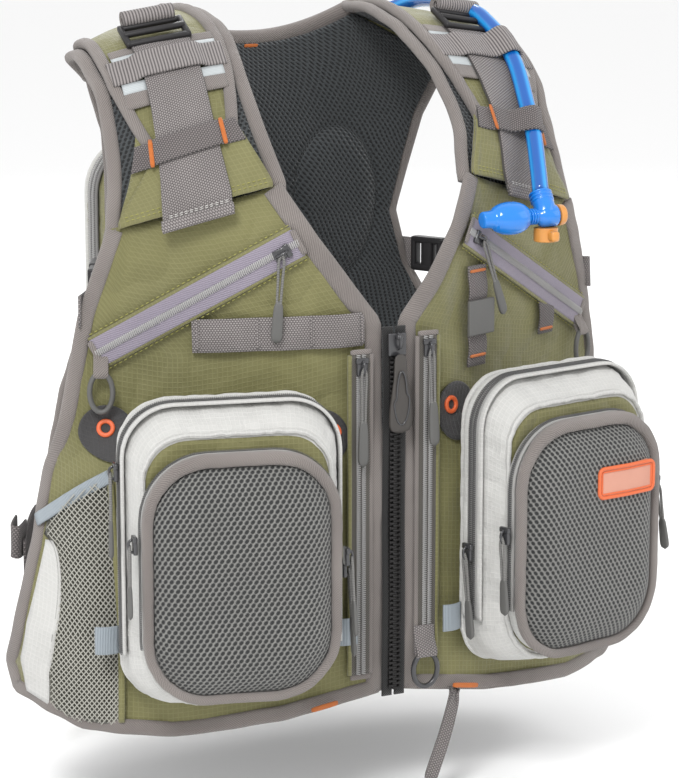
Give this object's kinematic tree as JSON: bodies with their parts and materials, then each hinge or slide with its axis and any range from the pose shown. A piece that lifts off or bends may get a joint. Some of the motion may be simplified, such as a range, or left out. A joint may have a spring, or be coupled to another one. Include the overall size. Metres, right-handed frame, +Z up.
{
  "type": "fishing vest",
  "caption": "Zip-front fishing vest with two chest packs, moulded tool shells, padded shoulders, mesh back, rear hydration compartment and a drinking hose.",
  "frame": {"origin": "middle plane of the vest at the level of the underside of the shoulder pads, where it hangs on the wearer or a hanger", "axes": "+Z up, -Y the wearer's front, +X the wearer's left"},
  "size_m": [0.533, 0.3819, 0.5875],
  "materials": {
    "olive_ripstop": "ripstop nylon, olive green, fine grid weave",
    "bone_ripstop": "ripstop nylon, off-white, fine grid weave",
    "spacer_mesh": "three-dimensional spacer mesh, slate",
    "shell_mesh": "moulded foam faced with open spacer mesh, dark grey",
    "webbing": "woven webbing, warm grey, matt",
    "zip_tape": "coated zip tape, lilac grey, with nylon coil",
    "black_zip": "moulded teeth on black tape",
    "black_plastic": "moulded acetal, black, fine satin",
    "grey_rubber": "moulded soft rubber pull, dark grey, satin",
    "orange_plastic": "moulded plastic, orange",
    "blue_rubber": "silicone and flexible tube, clear blue, glossy",
    "bladder_film": "translucent film, pale blue"
  },
  "bodies": {
    "back": {"back_panel": "olive_ripstop", "back_lining": "spacer_mesh", "back_pack": "olive_ripstop", "water_bladder": "bladder_film", "haul_loop": "webbing", "hose_rear": "blue_rubber", "shoulder_back_l": "olive_ripstop", "shoulder_back_r": "olive_ripstop", "buckle_body_l": "black_plastic", "buckle_body_r": "black_plastic", "waist_strap_l": "webbing", "waist_strap_r": "webbing"},
    "front_l": {"front_panel_l": "olive_ripstop", "shoulder_pad_l": "olive_ripstop", "yoke_l": "olive_ripstop", "load_strap_l": "webbing", "strap_keeper_l": "webbing", "shoulder_band_l": "webbing", "diagonal_zip_l": "zip_tape", "centre_zip_l": "black_zip", "flap_zip_l": "zip_tape", "pocket_l": "bone_ripstop", "moulded_shell_l": "shell_mesh", "side_web_l": "webbing", "hose_front": "blue_rubber", "dock_tab_l": "webbing", "eyelet_inner_l": "orange_plastic"},
    "front_r": {"front_panel_r": "olive_ripstop", "shoulder_pad_r": "olive_ripstop", "yoke_r": "olive_ripstop", "load_strap_r": "webbing", "strap_keeper_r": "webbing", "shoulder_band_r": "webbing", "diagonal_zip_r": "zip_tape", "centre_zip_r": "black_zip", "flap_zip_r": "zip_tape", "pocket_r": "bone_ripstop", "moulded_shell_r": "shell_mesh", "side_web_r": "webbing", "daisy_chain_r": "webbing", "eyelet_outer_r": "orange_plastic", "eyelet_inner_r": "orange_plastic"},
    "diagonal_slider_l": {"diagonal_slider_l": "grey_rubber"},
    "diagonal_slider_r": {"diagonal_slider_r": "grey_rubber"},
    "chest_ring_l": {"chest_ring_l": "grey_rubber"},
    "chest_ring_r": {"chest_ring_r": "grey_rubber"},
    "flap_slider_l": {"flap_slider_l": "grey_rubber"},
    "flap_slider_r": {"flap_slider_r": "grey_rubber"},
    "pocket_slider_l": {"pocket_slider_l": "grey_rubber"},
    "pocket_slider_r": {"pocket_slider_r": "grey_rubber"},
    "shell_slider_l": {"shell_slider_l": "grey_rubber"},
    "shell_slider_r": {"shell_slider_r": "grey_rubber"},
    "buckle_clip_l": {"buckle_clip_l": "black_plastic"},
    "buckle_clip_r": {"buckle_clip_r": "black_plastic"},
    "centre_slider": {"centre_slider": "black_plastic"},
    "centre_pull": {"centre_pull": "grey_rubber"},
    "hem_ring": {"hem_ring": "black_plastic"},
    "hem_loop": {"hem_loop": "webbing"},
    "bite_valve": {"bite_valve": "blue_rubber"},
    "shutoff_lever": {"shutoff_lever": "orange_plastic"}
  },
  "joints": [
    {"name": "front_l_open", "type": "hinge", "parent": "back", "child": "front_l", "pos_m": [0.13, 0.012, 0.01], "axis": [-0.1961, -0.0149, 0.9805], "range_deg": [0, 55]},
    {"name": "front_r_open", "type": "hinge", "parent": "back", "child": "front_r", "pos_m": [-0.13, 0.012, 0.01], "axis": [-0.1961, 0.0149, -0.9805], "range_deg": [0, 55]},
    {"name": "diagonal_zip_l_run", "type": "slide", "parent": "front_l", "child": "diagonal_slider_l", "axis": [0.8014, 0.3558, -0.4808], "range_m": [0, 0.1]},
    {"name": "chest_ring_l_swing", "type": "hinge", "parent": "front_l", "child": "chest_ring_l", "pos_m": [0.2051, -0.0759, -0.241], "axis": [-0.914, -0.4058, 0], "range_deg": [0, 90]},
    {"name": "flap_zip_l_run", "type": "slide", "parent": "front_l", "child": "flap_slider_l", "axis": [0, 0, -1], "range_m": [0, 0.15]},
    {"name": "pocket_zip_l_run", "type": "slide", "parent": "front_l", "child": "pocket_slider_l", "axis": [0, 0, 1], "range_m": [0, 0.1]},
    {"name": "shell_zip_l_run", "type": "slide", "parent": "front_l", "child": "shell_slider_l", "axis": [0, 0, 1], "range_m": [0, 0.06]},
    {"name": "buckle_l_release", "type": "slide", "parent": "back", "child": "buckle_clip_l", "axis": [0.4427, -0.8967, 0], "range_m": [0, 0.02]},
    {"name": "diagonal_zip_r_run", "type": "slide", "parent": "front_r", "child": "diagonal_slider_r", "axis": [-0.8014, 0.3558, -0.4808], "range_m": [0, 0.12]},
    {"name": "chest_ring_r_swing", "type": "hinge", "parent": "front_r", "child": "chest_ring_r", "pos_m": [-0.2051, -0.0759, -0.241], "axis": [-0.914, 0.4058, 0], "range_deg": [0, 90]},
    {"name": "flap_zip_r_run", "type": "slide", "parent": "front_r", "child": "flap_slider_r", "axis": [0, 0, -1], "range_m": [0, 0.18]},
    {"name": "pocket_zip_r_run", "type": "slide", "parent": "front_r", "child": "pocket_slider_r", "axis": [0, 0, 1], "range_m": [0, 0.1]},
    {"name": "shell_zip_r_run", "type": "slide", "parent": "front_r", "child": "shell_slider_r", "axis": [0, 0, 1], "range_m": [0, 0.06]},
    {"name": "buckle_r_release", "type": "slide", "parent": "back", "child": "buckle_clip_r", "axis": [-0.4427, -0.8967, 0], "range_m": [0, 0.02]},
    {"name": "centre_zip_run", "type": "slide", "parent": "front_l", "child": "centre_slider", "axis": [0, 0, -1], "range_m": [0, 0.25]},
    {"name": "centre_pull_swing", "type": "hinge", "parent": "centre_slider", "child": "centre_pull", "pos_m": [0, -0.1551, -0.2345], "axis": [-1, 0, 0], "range_deg": [0, 110]},
    {"name": "hem_ring_swing", "type": "hinge", "parent": "front_l", "child": "hem_ring", "pos_m": [0.025, -0.1505, -0.464], "axis": [-1, 0, 0], "range_deg": [0, 90]},
    {"name": "hem_loop_swing", "type": "hinge", "parent": "front_l", "child": "hem_loop", "pos_m": [0.052, -0.147, -0.5035], "axis": [-1, 0, 0], "range_deg": [-15, 70]},
    {"name": "bite_valve_swivel", "type": "hinge", "parent": "front_l", "child": "bite_valve", "pos_m": [0.133, -0.138, -0.139], "axis": [0, 0, 1], "range_deg": [0, 140]},
    {"name": "shutoff_turn", "type": "hinge", "parent": "bite_valve", "child": "shutoff_lever", "pos_m": [0.133, -0.138, -0.139], "axis": [0, 0, 1], "range_deg": [0, 90]}
  ],
  "couplings": [
    {"joint": "front_r_open", "follows": "front_l_open", "ratio": 1}
  ]
}
